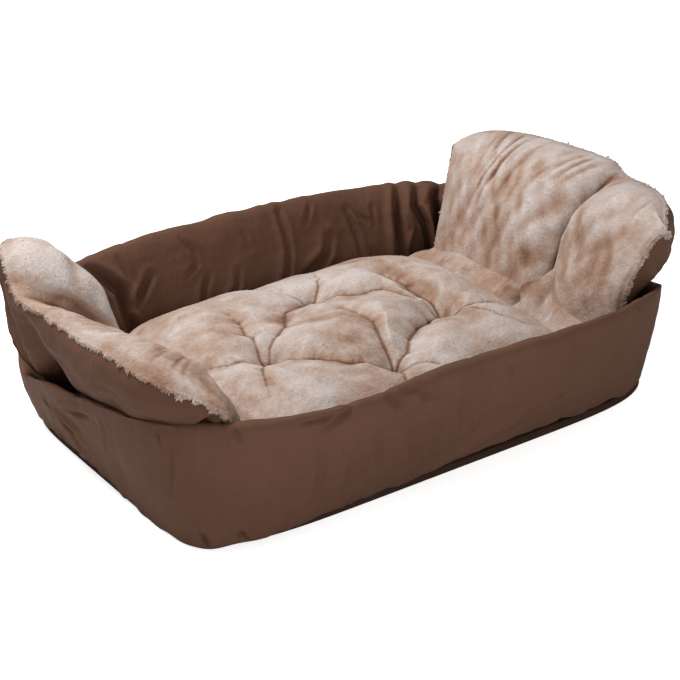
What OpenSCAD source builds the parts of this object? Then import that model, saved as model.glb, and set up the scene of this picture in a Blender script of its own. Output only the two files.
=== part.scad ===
/* Dog sofa bed: a padded tub of nylon cloth, a tufted plush mattress that lifts out,
   and two plush wings that stand in the ends of the tub and fold in over the mattress.
   Millimetres. X runs along the tub, Z is up, the origin is the middle of the footprint. */

/* [Tub] */
// Length of the tub along the crest of its rim
tub_l = 970; // [900:2:1080]
// Width of the tub along the crest of its rim
tub_w = 676; // [620:2:740]
// Height of the rim on the long sides
tub_h = 214; // [200:1:236]
// How much lower the rim is at the two ends
end_drop = 16; // [0:1:24]
// How far the left wing presses the rim down, at the far corner
left_press = 80; // [0:1:90]
// How far the right wing presses the rim down, at its end
right_press = 40; // [0:1:60]
// How far the rim leans out past the base at each end
end_lean = 40; // [30:1:60]
// How far the rim leans out past the base at each long side
side_lean = 53; // [30:1:64]
// Thickness of the padded wall halfway up
wall_t = 44; // [36:1:50]
// Squareness of the rim seen from above, 2 is an ellipse
rim_round = 3.7; // [3:0.1:5]
// Squareness of the base seen from above, 2 is an ellipse
base_round = 6.4; // [5:0.1:8]
// Thickness of the padded base
base_t = 14; // [10:1:20]

/* [Cloth] */
// Thickness of the nylon cloth
nylon_t = 1.5; // [1:0.1:2.5]
// Thickness of the plush with its pile pressed down
plush_t = 4; // [3:0.1:6]
// Clearance between two layers that lie on each other
layer_gap = 0.4; // [0.3:0.05:0.6]

/* [Mattress] */
// Height of the mattress border, from its lower seam to its upper seam
border_h = 24; // [20:1:32]
// Height of the lower mattress seam above the base
seam_h = 46; // [36:1:56]
// Rise of the mattress crown above its upper seam
crown_h = 62; // [44:1:72]
// Gap between the mattress border and the tub wall
side_gap = 12; // [10:0.5:18]
// Depth of the tufts below the crown
tuft_depth = 46; // [30:1:52]
// Reach of a tuft from its middle
tuft_reach = 46; // [36:1:60]
// Depth of the folds that run from tuft to tuft
fold_depth = 15; // [8:1:20]
// Reach of those folds to each side
fold_reach = 24; // [18:1:34]
// Radius of the thread that holds a tuft down
thread_r = 1.2; // [0.8:0.1:2]

/* [Wings] */
// Run of a wing from its hinge to the crest of the rim
wing_run = 180; // [165:1:200]
// Width of the cloth strip that hinges a wing to the mattress
strip_w = 18; // [14:1:24]
// Puff of the plush face of a wing
face_puff = 82; // [60:1:88]
// Puff of the nylon back of a wing
back_puff = 26; // [18:1:32]
// How far the top seam of a wing reaches past the crest of the rim
overreach = 14; // [4:1:20]
// Sag of a wing towards the corner of the tub
wing_sag = 12; // [6:1:18]
// Rise of the lower corners of a wing above its hinge
corner_lift = 30; // [16:1:40]
// Radius of the bead that the strip turns on
bead_r = 2; // [1.5:0.1:3]
// Height of the left wing above the rim at its near corner
left_near_rise = 30; // [24:1:70]
// Height of the left wing above the rim in its middle
left_mid_rise = 44; // [36:1:90]
// Height of the left wing above the rim at its far corner
left_far_rise = 98; // [70:1:106]
// Height of the right wing above the rim at its near corner
right_near_rise = 78; // [60:1:94]
// Height of the right wing above the rim in its middle
right_mid_rise = 102; // [86:1:120]
// Height of the right wing above the rim at its far corner
right_far_rise = 92; // [70:1:110]
// Angle from the middle of a wing to its corner, seen from above
wing_sweep = 43; // [40:1:46]

/* [Zip] */
// Length of the zip in the rear border of the mattress
zip_l = 420; // [380:1:440]
// Height of the zip window in the border
zip_h = 14; // [12:0.5:18]
// Radius of the bead that each half of the zip closes with
coil_r = 1.1; // [0.8:0.1:1.4]
// Length of the zip slider
slider_l = 12; // [10:0.5:15]
// Length of the flat part of the zip pull
pull_l = 16; // [12:1:20]

/* [Hidden] */

nylon_color = [0.30, 0.20, 0.15];
nylon_dark = [0.22, 0.14, 0.10];
plush_color = [0.74, 0.62, 0.53];
fill_color = [0.93, 0.93, 0.90];
foam_color = [0.85, 0.83, 0.72];
metal_color = [0.55, 0.52, 0.48];

// Half sizes of the crest of the rim and of the base
rim_a = tub_l / 2;
rim_b = tub_w / 2;
base_a = rim_a - end_lean;
base_b = rim_b - side_lean;

// One overrun serves every cut
overrun = 1;

function mix(a, b, t) = a + (b - a) * t;
function unit(v) = v / norm(v);
function flat(rows) = [for (row = rows) for (p = row) p];
function reversed(list) = [for (i = [len(list) - 1:-1:0]) list[i]];
// Spreads samples from -1 to 1, a little closer together near the ends
function spread(i, n) = let (t = 2 * i / n - 1) t * (1.18 - 0.18 * t * t);
// A rounded rectangle seen from above, as a superellipse at the angle phi
function outline(phi, a, b, n) =
    let (k = pow(pow(abs(cos(phi)), n) + pow(abs(sin(phi)), n), -1 / n)) [a * k * cos(phi), b * k * sin(phi)];

/* Closed solids between grids of points. Every layer of a cushion uses the same grid lines and
   the same diagonals, so layers that are a clearance apart never cut each other. */
function cell(i, j, c, o) = let (a = o + i * c + j) [a, a + 1, a + c + 1, a + c];
function split(q, flip) = flip
    ? [[q[0], q[1], q[2]], [q[0], q[2], q[3]]]
    : [[q[2], q[1], q[0]], [q[3], q[2], q[0]]];
// The side wall between two points a and b of the upper grid and the same two of the lower one
function rim_quad(a, b, half, flip) = split([a, b, half + b, half + a], flip);

module sheet_between(upper, lower, flip = false) {
    r = len(upper);
    c = len(upper[0]);
    half = r * c;
    last = (r - 1) * c;
    skin = [
        for (i = [0:r - 2]) for (j = [0:c - 2])
            for (f = concat(split(cell(i, j, c, 0), !flip), split(cell(i, j, c, half), flip))) f
    ];
    edge = concat(
        [for (j = [0:c - 2]) for (f = rim_quad(j, j + 1, half, flip)) f],
        [for (j = [0:c - 2]) for (f = rim_quad(last + j + 1, last + j, half, flip)) f],
        [for (i = [0:r - 2]) for (f = rim_quad(i * c + c, i * c, half, flip)) f],
        [for (i = [0:r - 2]) for (f = rim_quad(i * c + c - 1, i * c + 2 * c - 1, half, flip)) f]
    );
    polyhedron(concat(flat(upper), flat(lower)), concat(skin, edge));
}

// A solid swept through sections with the same number of points, closed in a ring or capped.
// Sections that run round the other way are flipped.
module swept(sections, ring, flip = false) {
    n = len(sections);
    k = len(sections[0]);
    last = ring ? n - 1 : n - 2;
    sides = [
        for (i = [0:last]) for (j = [0:k - 1])
            let (here = i * k, next = (i + 1) % n * k, up = (j + 1) % k)
            for (f = split([here + j, here + up, next + up, next + j], !flip)) f
    ];
    loop = [for (j = [0:k - 1]) j];
    end_loop = [for (j = loop) (n - 1) * k + j];
    caps = ring ? [] : flip ? [loop, reversed(end_loop)] : [reversed(loop), end_loop];
    polyhedron(flat(sections), concat(sides, caps));
}

/* The padded wall. Its section is a table of shares: across the wall from its middle, in wall
   thicknesses, outward first, and up the wall, in wall heights. */
wall_shares = [
    [0.08, 0], [0.34, 0.09], [0.44, 0.30], [0.46, 0.56], [0.40, 0.80], [0.25, 0.945], [0, 1],
    [-0.25, 0.945], [-0.40, 0.80], [-0.52, 0.56], [-0.58, 0.30], [-0.58, 0.09], [-0.54, 0]
];
wall_steps = 48;
// Turns of the ring's steps, drawn together at the corners
corner_turn = 8;
function turn(step) = let (t = 360 * step / wall_steps) t + corner_turn * sin(4 * t);
wall_rise = tub_h - base_t;
wall_section = [for (s = wall_shares) [s[0] * wall_t, s[1] * wall_rise]];
wall_last = len(wall_section) - 1;

// A share of 1 at the turn of each press, which fades over its two reaches, in degrees
left_press_turns = [150, 14, 36];
right_press_turns = [-8, 30, 34];
function turn_off(phi, middle) = (phi - middle + 540) % 360 - 180;
function press_share(phi, turns) =
    let (off = turn_off(phi, turns[0])) exp(-pow(off / (off < 0 ? turns[1] : turns[2]), 2));
function rim_z(phi) =
    tub_h - end_drop * pow(abs(outline(phi, rim_a, rim_b, rim_round)[0]) / rim_a, 1.5)
    - left_press * press_share(phi, left_press_turns) - right_press * press_share(phi, right_press_turns);
function wall_mid(phi, t) =
    mix(outline(phi, base_a, base_b, base_round), outline(phi, rim_a, rim_b, rim_round), t);
function wall_normal(phi) =
    let (d = outline(phi + 1, rim_a, rim_b, rim_round) - outline(phi - 1, rim_a, rim_b, rim_round))
    unit([d[1], -d[0]]);
// Outward normal of the section at its point k; the two lower ends stay level
function section_normal(k) =
    k == 0 ? [1, 0] : k == wall_last ? [-1, 0]
    : let (d = wall_section[k + 1] - wall_section[k - 1]) unit([d[1], -d[0]]);
// The wall's point k at the angle phi, moved in by a depth
function wall_point(phi, k, depth) =
    let (p = wall_section[k] - depth * section_normal(k), t = max(0, p[1]) / wall_rise,
         m = wall_mid(phi, t) + p[0] * wall_normal(phi))
    [m[0], m[1], base_t + layer_gap + t * (rim_z(phi) - base_t - layer_gap)];
function wall_loop(phi, depth) = [for (k = [0:wall_last]) wall_point(phi, k, depth)];
// Half width of the space inside the wall at a share t of its height
function inside_half(phi, t, axis) =
    let (p = wall_mid(phi, t) - wall_t * max([for (s = wall_shares) -s[0]]) * wall_normal(phi)) abs(p[axis]);

module wall_cover() {
    color(nylon_color) swept([
        for (i = [0:wall_steps - 1]) concat(wall_loop(turn(i), 0), reversed(wall_loop(turn(i), nylon_t)))
    ], true);
}

// One length of wadding inside the wall cover, between two steps of the ring. Its facets share
// their diagonals with the inside of the cover, and its ends lie on those facets.
module wall_fill(first, last) {
    depth = nylon_t + layer_gap;
    color(fill_color) swept([
        for (i = [first:last]) let (inward = i == first ? 1 : i == last ? -1 : 0)
            reversed(mix(wall_loop(turn(i), depth), wall_loop(turn(i + inward), depth), joint_share))
    ], false, true);
}
// Half of the joint between two lengths of wadding, as a share of a step of the ring
joint_share = 0.012;
end_steps = 5;
quarter = wall_steps / 4;

module rear_wall_fill() { wall_fill(end_steps, 2 * quarter - end_steps); }
module left_end_fill() { wall_fill(2 * quarter - end_steps, 2 * quarter + end_steps); }
module front_wall_fill() { wall_fill(2 * quarter + end_steps, 4 * quarter - end_steps); }
module right_end_fill() { wall_fill(4 * quarter - end_steps, 4 * quarter + end_steps); }

/* The base: a cover with a turned-up edge, a foam sheet in it and a liner over the foam. */
module base_plan(inset) {
    polygon([
        for (i = [0:wall_steps - 1]) outline(turn(i), base_a - inset, base_b - inset, base_round)
    ]);
}
module base_cover() {
    color(nylon_dark) difference() {
        linear_extrude(base_t) base_plan(0);
        translate([0, 0, nylon_t]) linear_extrude(base_t) base_plan(nylon_t);
    }
}
module base_foam() {
    color(foam_color) translate([0, 0, nylon_t + layer_gap])
        linear_extrude(base_t - 2 * nylon_t - 2 * layer_gap) base_plan(nylon_t + layer_gap);
}
module base_liner() {
    color(nylon_dark) translate([0, 0, base_t - nylon_t])
        linear_extrude(nylon_t) base_plan(nylon_t + layer_gap);
}

/* The mattress. Its outline has straight sides that draw in towards the ends. */
bottom_z = base_t + layer_gap;
lower_seam_z = base_t + seam_h;
upper_seam_z = lower_seam_z + border_h;
hinge_x = rim_a - wing_run;
hinge_z = (lower_seam_z + upper_seam_z) / 2;
mattress_a = hinge_x - bead_r - layer_gap;
mattress_b = inside_half(90, (lower_seam_z - base_t) / wall_rise, 1) - side_gap;
straight_share = 0.72;
end_taper_share = 0.14;
mattress_cells = [26, 18];

function half_w(u) =
    mattress_b * (1 - end_taper_share * pow(max(0, (abs(u) - straight_share) / (1 - straight_share)), 2));
function bed_xy(u, v) = [mattress_a * u, half_w(u) * v];

// Tufts, each where two lines of the grid cross, so that it is the lowest point of its dimple
tuft_lines = [[13, 12], [19, 7], [7, 8], [12, 4]];
tuft_shares = [for (t = tuft_lines) [spread(t[0], mattress_cells[0]), spread(t[1], mattress_cells[1])]];
// Ends of the folds, as shares of the mattress's half length and half width
fold_shares = [
    [tuft_shares[2], tuft_shares[0]], [tuft_shares[0], tuft_shares[1]],
    [tuft_shares[1], tuft_shares[3]], [tuft_shares[3], tuft_shares[2]],
    [tuft_shares[0], [-0.16, 0.86]], [tuft_shares[1], [0.46, 0.46]],
    [tuft_shares[2], [-0.86, -0.02]], [tuft_shares[2], [-0.50, 0.40]]
];
function place(share) = [share[0] * mattress_a, share[1] * mattress_b];
function off_segment(p, a, b) =
    let (d = b - a, t = max(0, min(1, ((p - a) * d) / (d * d)))) norm(p - a - t * d);
function dip(distance, reach) = exp(-pow(distance / reach, 2));
function tuft_dip(p) = max([for (s = tuft_shares) dip(norm(p - place(s)), tuft_reach)]);
function fold_dip(p) = max([for (s = fold_shares) dip(off_segment(p, place(s[0]), place(s[1])), fold_reach)]);
// Swell of the mattress between its seams, 0 at the seams and 1 in the middle. The ends of the
// crown slope more gently than its sides, which leaves room for the wings to fold in.
function swell(u, v, power, end_slope) =
    pow(1 - pow(abs(u), power), end_slope) * pow(1 - pow(abs(v), power), 0.5);

crown_power = 3;
crown_end_slope = 0.75;
under_power = 9;
under_dimple_share = 0.3;
function top_z(u, v) =
    let (p = bed_xy(u, v), s = swell(u, v, crown_power, crown_end_slope))
    upper_seam_z + s * (crown_h - max(tuft_depth * tuft_dip(p), fold_depth * fold_dip(p)));
function under_z(u, v) =
    mix(lower_seam_z, bottom_z + under_dimple_share * tuft_depth * tuft_dip(bed_xy(u, v)),
        swell(u, v, under_power, 0.5));

// A grid over the mattress; a margin of 1 leaves out the outermost lines
function bed_grid(margin, upper, lift) = [
    for (i = [margin:mattress_cells[0] - margin]) [
        for (j = [margin:mattress_cells[1] - margin])
            let (u = spread(i, mattress_cells[0]), v = spread(j, mattress_cells[1]))
            concat(bed_xy(u, v), upper ? top_z(u, v) + lift : under_z(u, v) + lift)
    ]
];

// The holes that the tuft threads pass through
module thread_holes() {
    for (s = tuft_shares) translate(concat(place(s), 0))
        cylinder(h = tub_h, r = thread_r + layer_gap, $fn = 8);
}
module mattress_top() {
    color(plush_color) difference() {
        sheet_between(bed_grid(0, true, plush_t + layer_gap), bed_grid(0, true, layer_gap));
        thread_holes();
    }
}
module mattress_underside() {
    color(nylon_dark) difference() {
        sheet_between(bed_grid(0, false, nylon_t), bed_grid(0, false, 0));
        thread_holes();
    }
}
module mattress_fill() {
    color(fill_color) difference() {
        sheet_between(bed_grid(1, true, 0), bed_grid(1, false, nylon_t + layer_gap));
        thread_holes();
    }
}

// The mattress's plan as a polygon, drawn in by an inset
module bed_plan(inset) {
    side = [for (i = [0:mattress_cells[0]]) let (p = bed_xy(spread(i, mattress_cells[0]), 1)) [
        p[0] * (mattress_a - inset) / mattress_a, p[1] - inset]];
    polygon(concat([for (p = side) [p[0], -p[1]]], reversed(side)));
}
border_z = lower_seam_z + nylon_t + layer_gap;
border_rise = upper_seam_z - border_z;
module mattress_border() {
    color(nylon_color) difference() {
        translate([0, 0, border_z]) linear_extrude(border_rise) difference() {
            bed_plan(0);
            bed_plan(nylon_t);
        }
        zip_window();
    }
}

// A thread with a knot at each end, which sit in the dimples above and below the mattress
knot_r = 2 * thread_r;
knot_h = 2 * thread_r;
// A knot clears the sloping sides of its dimple
dimple_slope = tuft_depth / tuft_reach;
knot_seat = layer_gap + dimple_slope * knot_r / 2;
module tuft_threads() {
    color(nylon_dark) for (s = tuft_shares) translate(concat(place(s), 0)) {
        top = top_z(s[0], s[1]) + layer_gap + plush_t + knot_seat + knot_h;
        foot = under_z(s[0], s[1]) - knot_seat - knot_h;
        translate([0, 0, foot]) cylinder(h = top - foot, r = thread_r, $fn = 8);
        for (z = [foot, top - knot_h]) translate([0, 0, z]) cylinder(h = knot_h, r = knot_r, $fn = 24);
    }
}

/* The zip in the rear border: two tapes with a bead each, the slider that runs on the beads, and
   the pull, whose crossbar turns under the slider's bridge. */
zip_z = border_z + border_rise / 2;
tape_l = zip_l - 2 * layer_gap;
tape_t = nylon_t - layer_gap;
tape_h = (zip_h - 2 * layer_gap) / 2 - coil_r;
coil_y = mattress_b + coil_r;
module zip_window() {
    translate([-zip_l / 2, mattress_b - nylon_t - overrun, zip_z - zip_h / 2])
        cube([zip_l, nylon_t + 2 * overrun, zip_h]);
}
module zip_tapes() {
    color(nylon_dark) for (z = [zip_z - coil_r - tape_h, zip_z + coil_r])
        translate([-tape_l / 2, mattress_b - nylon_t, z]) cube([tape_l, tape_t, tape_h]);
}
module zip_coils() {
    color(nylon_dark) for (side = [-1, 1])
        translate([-tape_l / 2, coil_y, zip_z + side * (coil_r + layer_gap / 2)])
            rotate([0, 90, 0]) cylinder(h = tape_l, r = coil_r, $fn = 24);
}
// The slider's plate lies over the beads, its lips hold them, and its bridge stands on the plate
plate_t = 1;
lip_z = 2 * coil_r + 3 * layer_gap / 2;
slider_x = -zip_l / 2 + slider_l;
slider_y = coil_y + coil_r + layer_gap;
bar_r = 0.7;
bridge_l = slider_l * 2 / 3;
bridge_h = slider_l / 4;
bridge_y = slider_y + plate_t;
under_bridge = 2 * bar_r + 2 * layer_gap;
pull_x = slider_x;
pull_y = bridge_y + layer_gap + bar_r;
module zip_slider() {
    color(metal_color) translate([slider_x, 0, zip_z]) {
        translate([-slider_l / 2, slider_y, -lip_z - plate_t])
            cube([slider_l, plate_t, 2 * (lip_z + plate_t)]);
        for (z = [-lip_z - plate_t, lip_z])
            translate([-slider_l / 2, coil_y, z]) cube([slider_l, slider_y - coil_y + plate_t, plate_t]);
        translate([-bridge_l / 2, bridge_y + under_bridge, -bridge_h / 2])
            cube([bridge_l, plate_t, bridge_h]);
        for (x = [-bridge_l / 2, bridge_l / 2 - plate_t])
            translate([x, bridge_y, -bridge_h / 2]) cube([plate_t, under_bridge + plate_t, bridge_h]);
    }
}
// The pull's eye goes round the far leg of the bridge
eye_w = bridge_h + 2 * layer_gap;
eye_l = bridge_l / 2 + 2 * layer_gap;
arm_w = 2 * bar_r;
module zip_pull() {
    color(metal_color) translate([pull_x, pull_y, zip_z]) {
        cylinder(h = eye_w + 2 * arm_w, r = bar_r, center = true, $fn = 24);
        for (side = [-1, 1]) translate([eye_l / 2, 0, side * (eye_w + arm_w) / 2])
            cube([eye_l, arm_w, arm_w], center = true);
        translate([eye_l + pull_l / 2, 0, 0]) cube([pull_l, arm_w, eye_w + 2 * arm_w], center = true);
    }
}

/* The wings. A wing is a cushion with a knife-edge seam, bent round the end of the tub: its lower
   seam is straight at the hinge and its upper seam follows the rim. u runs from the near corner
   to the far corner, v from the lower seam to the upper seam. */
wing_cells = [20, 10];
// How far the upper seam draws in at its corners
wing_inset = 9;
lower_b = half_w(1) - side_gap;
left_rise = [left_near_rise, left_mid_rise, left_far_rise];
right_rise = [right_near_rise, right_mid_rise, right_far_rise];
// Place of a wing's crease, and its reach towards the near and the far corner
left_crease_shares = [0.37, 0.40, 0.15];
right_crease_shares = [-0.30, 0.15, 0.15];
crease_share = 0.68;
// How far the swell of the face is drawn towards the upper seam, 1 is not at all
face_top_power = 1.6;
back_low_share = 0.35;
// How far the upper seam drops at its corners, and how close to them it does so
corner_drop = 26;
corner_power = 9;
// The sag runs outward and down alike
sag_shares = [0.7, 0, -0.7];

function rise_at(rise, u) =
    rise[1] + (rise[2] - rise[0]) / 2 * u + ((rise[2] + rise[0]) / 2 - rise[1]) * u * u
    - corner_drop * pow(abs(u), corner_power);
function lower_seam(u) = [hinge_x + strip_w, lower_b * u, hinge_z + corner_lift * pow(abs(u), 3)];
function upper_seam(u, rise) =
    let (draw = overreach - wing_inset * pow(abs(u), 3),
         p = outline(wing_sweep * u, rim_a + draw, rim_b + draw, rim_round))
    [p[0], p[1], tub_h + rise_at(rise, u)];
function wing_mid(u, v, rise) =
    mix(lower_seam(u), upper_seam(u, rise), v) + wing_sag * sin(180 * v) * (1 - u * u) * sag_shares;
// Points from the nylon back to the plush face
function wing_normal(u, v, rise) =
    let (e = 0.02, up = wing_mid(u, v + e, rise) - wing_mid(u, v - e, rise),
         along = wing_mid(u + e, v, rise) - wing_mid(u - e, v, rise))
    unit(cross(up, along));
function wing_puff(u, v) = pow(1 - pow(abs(u), 6), 0.5) * pow(4 * v * (1 - v), 0.7);
function face_swell(u, v, crease) =
    face_puff * wing_puff(u, pow(v, face_top_power))
    * (1 - crease_share * (1 - v / 4) * dip(u - crease[0], u < crease[0] ? crease[1] : crease[2]));
// The back puffs out most low down, inside the tub, and least where it passes the rim
function back_swell(u, v) = back_puff * wing_puff(u, v) * (1 + back_low_share - v);

// A grid on one layer of a wing: side is -1 for the left wing, face is true for the plush side
function wing_grid(side, rise, crease, margin, face, depth) = [
    for (i = [margin:wing_cells[0] - margin]) [
        for (j = [margin:wing_cells[1] - margin])
            let (u = spread(i, wing_cells[0]), v = (spread(j, wing_cells[1]) + 1) / 2,
                 s = face ? face_swell(u, v, crease) + depth : -back_swell(u, v) - depth,
                 p = wing_mid(u, v, rise) + wing_normal(u, v, rise) * s)
            [side * p[0], p[1], p[2]]
    ]
];
half_gap = layer_gap / 2;
module wing_face(side, rise, crease) {
    color(plush_color) sheet_between(
        wing_grid(side, rise, crease, 0, true, plush_t + half_gap),
        wing_grid(side, rise, crease, 0, true, half_gap), side > 0);
}
module wing_back(side, rise, crease) {
    color(nylon_color) sheet_between(
        wing_grid(side, rise, crease, 0, false, half_gap),
        wing_grid(side, rise, crease, 0, false, nylon_t + half_gap), side > 0);
}
module wing_fill(side, rise, crease) {
    color(fill_color) sheet_between(
        wing_grid(side, rise, crease, 1, true, half_gap - layer_gap),
        wing_grid(side, rise, crease, 1, false, half_gap - layer_gap), side > 0);
}
// The strip turns on a bead that lies along the end of the mattress
module fold_strip(side) {
    strip_l = 2 * lower_b;
    color(nylon_dark) translate([side * hinge_x, 0, hinge_z]) {
        rotate([90, 0, 0]) cylinder(h = strip_l, r = bead_r, center = true, $fn = 32);
        translate([side * (strip_w - layer_gap) / 2, 0, 0])
            cube([strip_w - layer_gap, strip_l, nylon_t], center = true);
    }
}
module left_wing_face() { wing_face(-1, left_rise, left_crease_shares); }
module left_wing_back() { wing_back(-1, left_rise, left_crease_shares); }
module left_wing_fill() { wing_fill(-1, left_rise, left_crease_shares); }
module left_fold_strip() { fold_strip(-1); }
module right_wing_face() { wing_face(1, right_rise, right_crease_shares); }
module right_wing_back() { wing_back(1, right_rise, right_crease_shares); }
module right_wing_fill() { wing_fill(1, right_rise, right_crease_shares); }
module right_fold_strip() { fold_strip(1); }

base_cover();
base_foam();
base_liner();
wall_cover();
front_wall_fill();
rear_wall_fill();
left_end_fill();
right_end_fill();
mattress_top();
mattress_border();
mattress_underside();
mattress_fill();
tuft_threads();
zip_tapes();
zip_coils();
zip_slider();
zip_pull();
left_wing_face();
left_wing_back();
left_wing_fill();
left_fold_strip();
right_wing_face();
right_wing_back();
right_wing_fill();
right_fold_strip();
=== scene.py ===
"""Dog sofa bed: its looks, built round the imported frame. Metres, in the frame's own axes."""
import math

import bpy
import numpy as np
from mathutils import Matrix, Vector


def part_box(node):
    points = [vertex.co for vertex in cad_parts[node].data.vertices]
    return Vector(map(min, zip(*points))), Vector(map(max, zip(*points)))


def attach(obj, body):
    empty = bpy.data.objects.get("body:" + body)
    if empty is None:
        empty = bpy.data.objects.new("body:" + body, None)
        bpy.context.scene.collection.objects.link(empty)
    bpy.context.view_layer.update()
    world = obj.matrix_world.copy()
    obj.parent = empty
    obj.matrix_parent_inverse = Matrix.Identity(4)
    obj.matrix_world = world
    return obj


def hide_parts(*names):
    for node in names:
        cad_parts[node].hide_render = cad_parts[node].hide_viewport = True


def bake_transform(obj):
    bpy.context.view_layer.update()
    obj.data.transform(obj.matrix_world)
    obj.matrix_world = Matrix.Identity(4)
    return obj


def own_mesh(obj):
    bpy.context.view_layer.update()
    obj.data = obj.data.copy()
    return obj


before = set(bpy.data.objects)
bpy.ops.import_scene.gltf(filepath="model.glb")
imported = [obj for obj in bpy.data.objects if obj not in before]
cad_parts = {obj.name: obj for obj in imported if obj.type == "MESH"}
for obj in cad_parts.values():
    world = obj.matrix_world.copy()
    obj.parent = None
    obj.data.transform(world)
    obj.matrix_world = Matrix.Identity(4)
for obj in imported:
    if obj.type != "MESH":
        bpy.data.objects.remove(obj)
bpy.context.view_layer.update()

scene = bpy.context.scene

# A millimetre, the unit of length in the lists of drops, crests, creases, tufts, tucks and pleats
MM = 0.001

# Sizes read from the frame
wall_low, wall_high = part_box("wall_cover")
_, base_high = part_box("base_cover")
border_low, border_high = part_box("mattress_border")
_, top_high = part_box("mattress_top")
strip_low, strip_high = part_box("right_fold_strip")
RIM_Z = wall_high.z
WALL_RISE = RIM_Z - wall_low.z
MATTRESS_A = border_high.x
MATTRESS_B = border_high.y

# Sizes that the boxes don't give: A is half a length, B half a width, ROUND the power of an outline,
# T a thickness and R a radius
RIM_A = 0.485
RIM_B = 0.338
RIM_ROUND = 3.7
BASE_ROUND = 6.4
WALL_T = 0.044
PLUSH_T = 0.004
NYLON_T = 0.0015
BEAD_R = 0.002
# How much lower the rim is at its two ends, and the room that its waves leave below its top
END_DROP = 0.016
RIM_MARGIN = 0.002
# How far the wings press the rim down, by the angle round the tub in degrees
RIM_DROPS = [
    (0, 44), (20, 34), (36, 8), (46, 0), (118, 0), (130, 8), (137, 42), (143, 84), (150, 92), (158, 72),
    (166, 58), (176, 47), (186, 36), (198, 18), (210, 6), (222, 0), (306, 0), (318, 14), (326, 34),
    (336, 46), (360, 44)
]
# The seam that a wing folds about, and the width of the strip of cloth beside it
HINGE_X = strip_low.x + BEAD_R
HINGE_Z = (strip_low.z + strip_high.z) / 2
LOWER_B = strip_high.y
STRIP_W = 0.018

# Camera and light
CAMERA_TURN = math.radians(-35.8)
CAMERA_RISE = math.radians(25.5)
CAMERA_FAR = 2.56
CAMERA_TARGET = (-0.008, 0.006, 0.102)
CAMERA_LENS = 85.6
# The backdrop's strength, as seen and as a light, and the floor's glow
BACKDROP = 1.0
AMBIENT = 0.37
FLOOR_GLOW = 0.72
FLOOR_HALF = 12.0


def look_at(piece, target):
    piece.rotation_mode = "QUATERNION"
    piece.rotation_quaternion = (Vector(target) - piece.location).to_track_quat("-Z", "Y")


def add_object(name, data):
    piece = bpy.data.objects.new(name, data)
    scene.collection.objects.link(piece)
    return piece


def mesh_piece(name, points, faces, material):
    """A smooth mesh in the scene, of an array of points and a list of faces."""
    mesh = bpy.data.meshes.new(name)
    mesh.from_pydata(points.reshape(-1, 3).tolist(), [], faces)
    mesh.shade_smooth()
    mesh.materials.append(material)
    return add_object(name, mesh)


def add_camera():
    camera = add_object("camera", bpy.data.cameras.new("camera"))
    level = math.cos(CAMERA_RISE)
    back = Vector((math.sin(CAMERA_TURN) * level, -math.cos(CAMERA_TURN) * level, math.sin(CAMERA_RISE)))
    camera.location = Vector(CAMERA_TARGET) + back * CAMERA_FAR
    look_at(camera, CAMERA_TARGET)
    camera.data.sensor_width = 36
    camera.data.lens = CAMERA_LENS
    scene.camera = camera


def add_area_light(name, place, target, size, power, color):
    light = add_object(name, bpy.data.lights.new(name, "AREA"))
    light.location = place
    light.data.shape = "DISK"
    light.data.size = size
    light.data.energy = power
    light.data.color = color
    look_at(light, target)


def seen_or_light(tree, seen, light):
    """One number for what the camera sees directly, and another for the light that it gives."""
    path = tree.nodes.new("ShaderNodeLightPath")
    choose = tree.nodes.new("ShaderNodeMapRange")
    tree.links.new(path.outputs["Is Camera Ray"], choose.inputs["Value"])
    choose.inputs["To Min"].default_value = light
    choose.inputs["To Max"].default_value = seen
    return choose.outputs["Result"]


def add_lights():
    """A white backdrop, a key light from the far left above and a soft one in front."""
    scene.view_settings.view_transform = "Standard"
    world = bpy.data.worlds.new("studio")
    world.use_nodes = True
    tree = world.node_tree
    background = tree.nodes["Background"]
    background.inputs["Color"].default_value = (1, 0.99, 0.98, 1)
    tree.links.new(seen_or_light(tree, BACKDROP, AMBIENT), background.inputs["Strength"])
    scene.world = world
    add_area_light("key", (-0.75, 0.85, 2.05), (-0.02, 0.05, 0.1), size=0.8, power=50,
                   color=(1, 0.99, 0.98))
    add_area_light("front", (-0.5, -2.4, 0.9), (0, 0, 0.1), size=1.5, power=20, color=(1, 0.98, 0.96))


def add_floor():
    """A white floor, which glows to the camera alone."""
    n = Nodes("floor")
    material = n.finish(Base_Color=(0.95, 0.95, 0.95, 1), Roughness=0.9, Emission_Color=(1, 1, 1, 1),
                        Emission_Strength=seen_or_light(n.tree, FLOOR_GLOW, 0.0))
    corners = np.array([(-1, -1, 0), (1, -1, 0), (1, 1, 0), (-1, 1, 0)]) * FLOOR_HALF
    floor = mesh_piece("floor", corners, [(0, 1, 2, 3)], material)


# Small helpers on arrays of points
def length_of(vectors):
    return np.sqrt((vectors ** 2).sum(-1))


def unit(vectors):
    return vectors / np.maximum(length_of(vectors), 1e-9)[..., None]


def mix(a, b, share):
    return a + (b - a) * share


def ramp(value, low, high):
    """0 below low, 1 above high, and smooth between them."""
    t = np.clip((value - low) / (high - low), 0, 1)
    return t * t * (3 - 2 * t)


def bell(value, middle, width):
    """1 at the middle, and smoothly less to both sides of it."""
    return np.exp(-((value - middle) / width) ** 2)


def table_value(table, place, blur):
    """The value of a table of (place, value) pairs, with its corners rounded over the given blur."""
    places, values = zip(*table)
    shares = np.linspace(-1, 1, 7)
    return np.mean([np.interp(place + share * blur, places, values) for share in shares], axis=0)


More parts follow.
